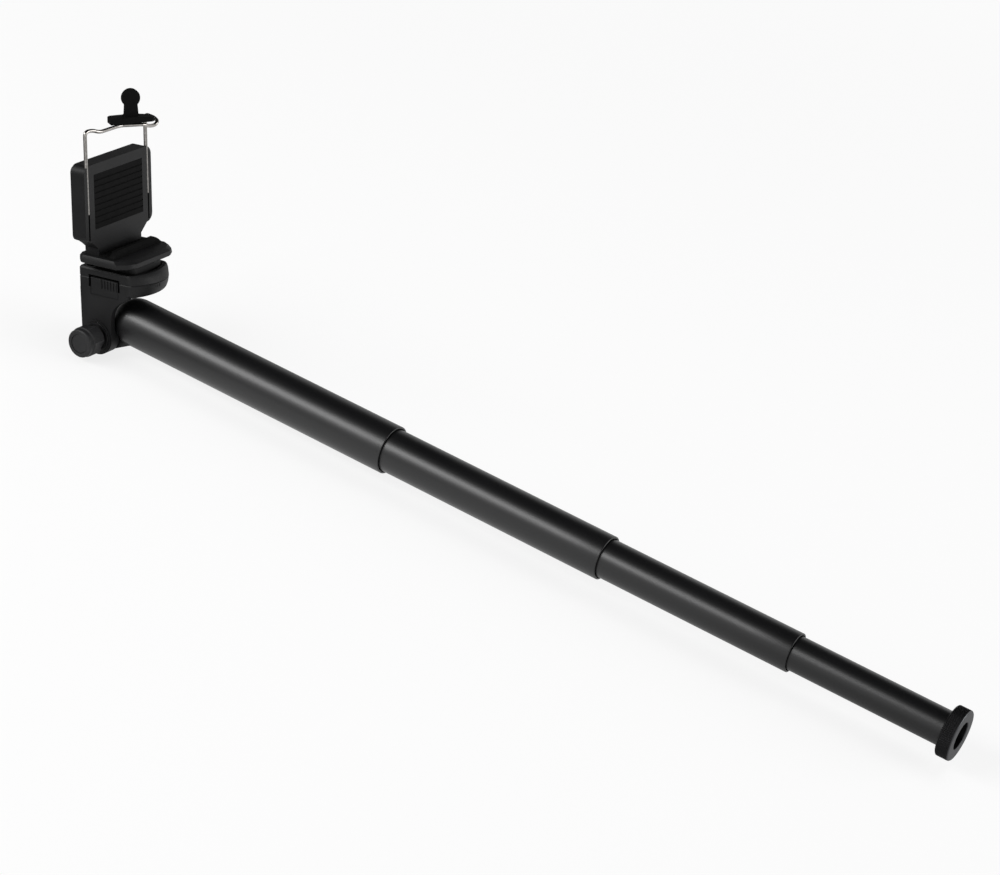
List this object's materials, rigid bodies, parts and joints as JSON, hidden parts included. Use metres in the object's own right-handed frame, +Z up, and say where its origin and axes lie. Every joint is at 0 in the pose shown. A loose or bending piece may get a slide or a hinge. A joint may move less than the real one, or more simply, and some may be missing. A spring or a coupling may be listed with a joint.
{
  "type": "travel tripod",
  "caption": "Hand-held telescopic camera support with a tilting quick-release head, a spring-wire clip for a hand-held device and a knurled foot ring.",
  "frame": {"origin": "centre of the foot ring's front face, on the axis of the tubes", "axes": "+X along the tubes out of the foot ring, +Y along the tilt axis away from the knob, +Z up with the tubes level"},
  "size_m": [0.573, 0.0629, 0.1518],
  "materials": {
    "anodised": "satin black anodised",
    "ring": "satin dark anodised, knurled rim",
    "moulded": "fine-grained black moulding",
    "knob": "matte black moulding",
    "collet": "plain light acetal",
    "steel": "plain turned steel",
    "rubber": "matte black rubber",
    "wire": "bright plated wire"
  },
  "bodies": {
    "handle": {"neck": "moulded", "tube_1": "anodised", "tilt_nut": "steel"},
    "head": {"head_body": "moulded", "platform_top": "moulded", "platform_screws": "steel", "lever_pin": "steel", "tilt_washer": "rubber"},
    "knob_washer": {"knob_washer": "anodised"},
    "knob": {"knob": "knob", "knob_cap": "knob", "clamp_screw": "steel"},
    "release_lever": {"release_lever": "moulded"},
    "shoe": {"shoe": "moulded", "shoe_pad": "rubber"},
    "camera_screw": {"camera_screw": "steel"},
    "clip": {"clip_base": "moulded", "clip_nut": "steel", "clip_pad": "rubber", "clip_back": "moulded", "back_pad": "rubber", "clip_cover": "moulded", "cover_screws": "steel"},
    "bail": {"bail_wire": "wire", "jaw_block": "rubber", "pull_tab": "rubber"},
    "lock_2": {"collet_2": "collet"},
    "tube_2": {"plug_2": "moulded", "tube_2": "anodised"},
    "lock_3": {"collet_3": "collet"},
    "tube_3": {"plug_3": "moulded", "tube_3": "anodised"},
    "lock_4": {"collet_4": "collet"},
    "tube_4": {"plug_4": "moulded", "tube_4": "anodised", "foot_ring": "ring"}
  },
  "joints": [
    {"name": "head_tilt", "type": "hinge", "parent": "handle", "child": "head", "pos_m": [-0.5455, 0, -0.00983], "axis": [0, 1, 0], "range_deg": [-77.87, 12.13]},
    {"name": "screw_feed", "type": "slide", "parent": "head", "child": "knob_washer", "axis": [0, -1, 0], "range_m": [0, 0.00125]},
    {"name": "knob_turn", "type": "hinge", "parent": "knob_washer", "child": "knob", "pos_m": [-0.5455, 0, -0.00983], "axis": [0, -1, 0], "range_deg": [0, 360]},
    {"name": "lever_swing", "type": "hinge", "parent": "head", "child": "release_lever", "pos_m": [-0.55096, -0.0159, 0.01559], "axis": [0.9777, 0, 0.2101], "range_deg": [0, 40], "stiffness_Nm_per_rad": 0.02},
    {"name": "shoe_lift", "type": "slide", "parent": "head", "child": "shoe", "axis": [-0.2101, 0, 0.9777], "range_m": [0, 0.04]},
    {"name": "screw_turn", "type": "hinge", "parent": "shoe", "child": "camera_screw", "pos_m": [-0.53582, 0, -0.00775], "axis": [-0.2101, 0, 0.9777], "continuous": true},
    {"name": "clip_swivel", "type": "hinge", "parent": "shoe", "child": "clip", "pos_m": [-0.53582, 0, -0.00775], "axis": [-0.2101, 0, 0.9777], "continuous": true},
    {"name": "bail_slide", "type": "slide", "parent": "clip", "child": "bail", "axis": [-0.2101, 0, 0.9777], "range_m": [-0.014, 0.016], "stiffness_N_per_m": 250},
    {"name": "draw_2", "type": "slide", "parent": "handle", "child": "lock_2", "axis": [1, 0, 0], "range_m": [-0.1393, 0]},
    {"name": "twist_2", "type": "hinge", "parent": "lock_2", "child": "tube_2", "pos_m": [-0.3555, 0, 0], "axis": [1, 0, 0], "range_deg": [0, 120]},
    {"name": "draw_3", "type": "slide", "parent": "tube_2", "child": "lock_3", "axis": [1, 0, 0], "range_m": [-0.1139, 0]},
    {"name": "twist_3", "type": "hinge", "parent": "lock_3", "child": "tube_3", "pos_m": [-0.215, 0, 0], "axis": [1, 0, 0], "range_deg": [0, 120]},
    {"name": "draw_4", "type": "slide", "parent": "tube_3", "child": "lock_4", "axis": [1, 0, 0], "range_m": [-0.0866, 0]},
    {"name": "twist_4", "type": "hinge", "parent": "lock_4", "child": "tube_4", "pos_m": [-0.1, 0, 0], "axis": [1, 0, 0], "range_deg": [0, 120]}
  ],
  "couplings": [
    {"joint": "knob_turn", "follows": "screw_feed", "rad_per_m": 5026.5}
  ]
}
